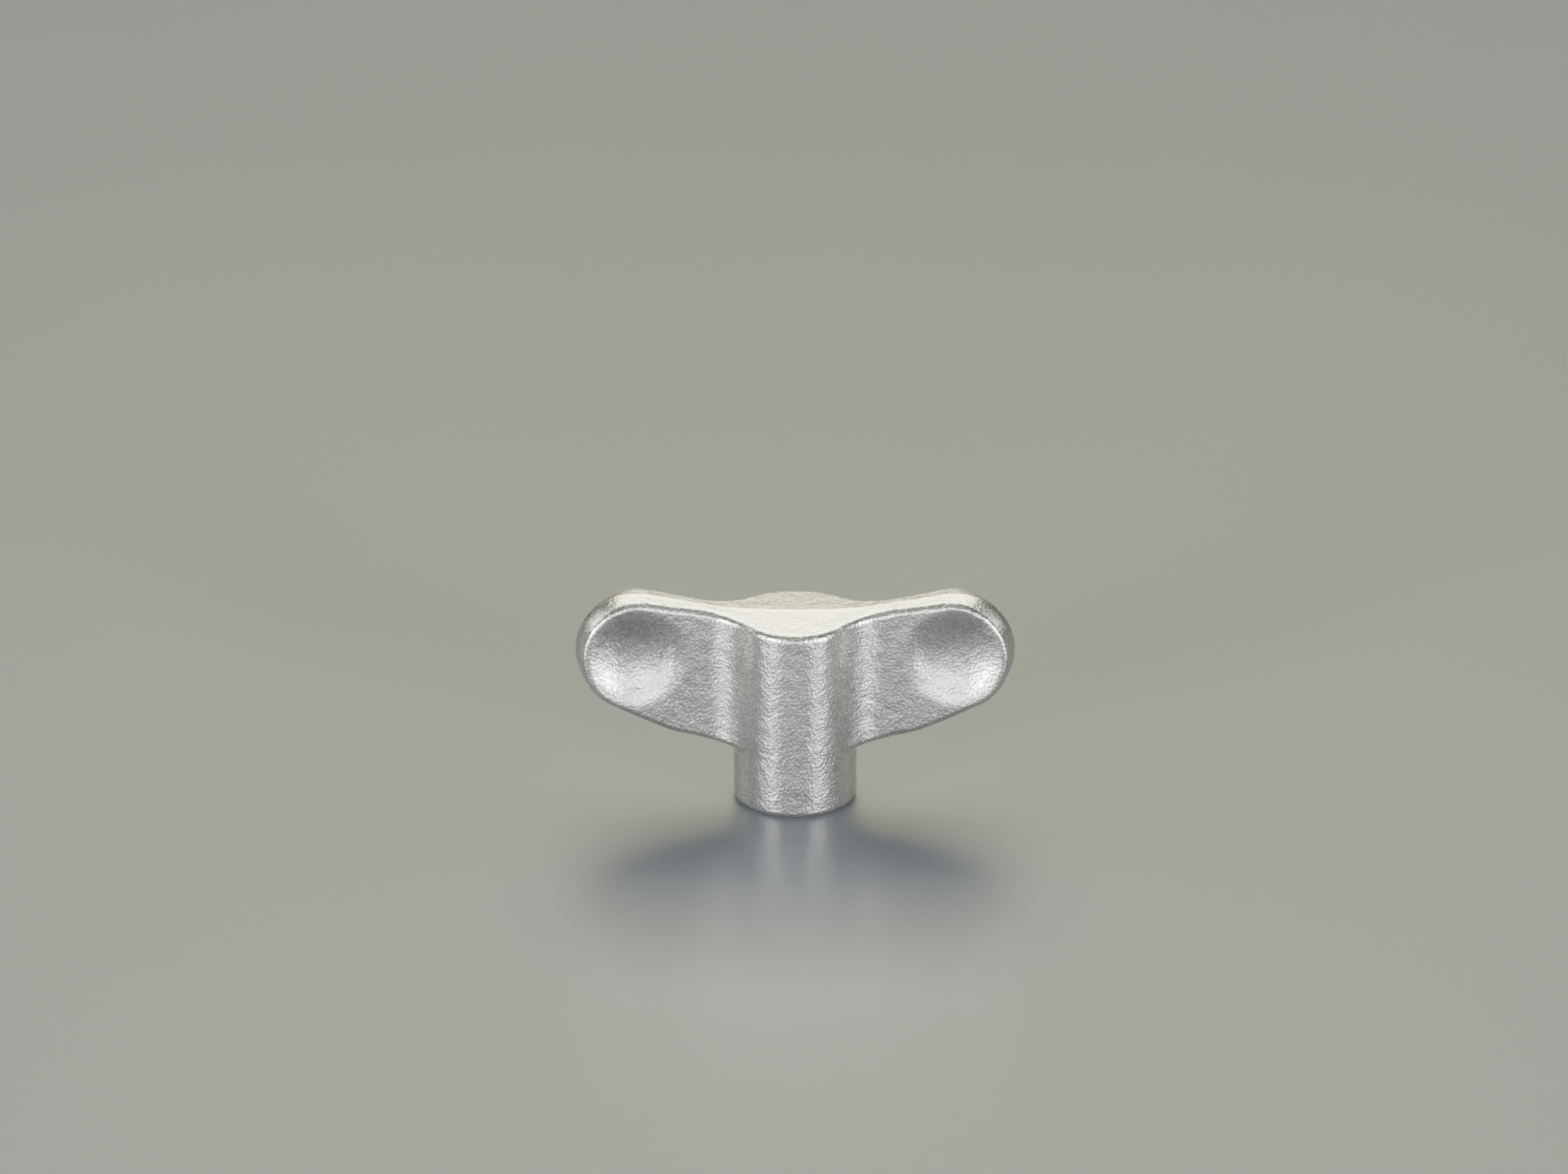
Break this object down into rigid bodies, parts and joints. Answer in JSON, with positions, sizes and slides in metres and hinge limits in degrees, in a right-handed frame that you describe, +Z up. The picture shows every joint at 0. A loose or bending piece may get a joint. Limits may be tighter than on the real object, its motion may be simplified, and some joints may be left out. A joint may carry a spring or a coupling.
{
  "type": "wing nut",
  "caption": "Closed-top wing nut: a cast metal body with dimpled thumb wings, and a threaded bush pressed into its blind bore, for tightening on a stud by hand.",
  "frame": {"origin": "middle of the flat face under the hub, on the thread's axis", "axes": "+Z up along the thread's axis, X along the two wings, Y through the wings' thickness"},
  "size_m": [0.052, 0.0146, 0.026],
  "materials": {
    "blasted_casting": "matte silver, shot blasted casting skin with a fine pebbled grain",
    "turned_steel": "turned steel with fine machining rings"
  },
  "bodies": {
    "root": {"wing_body": "blasted_casting", "threaded_bush": "turned_steel"}
  },
  "joints": []
}
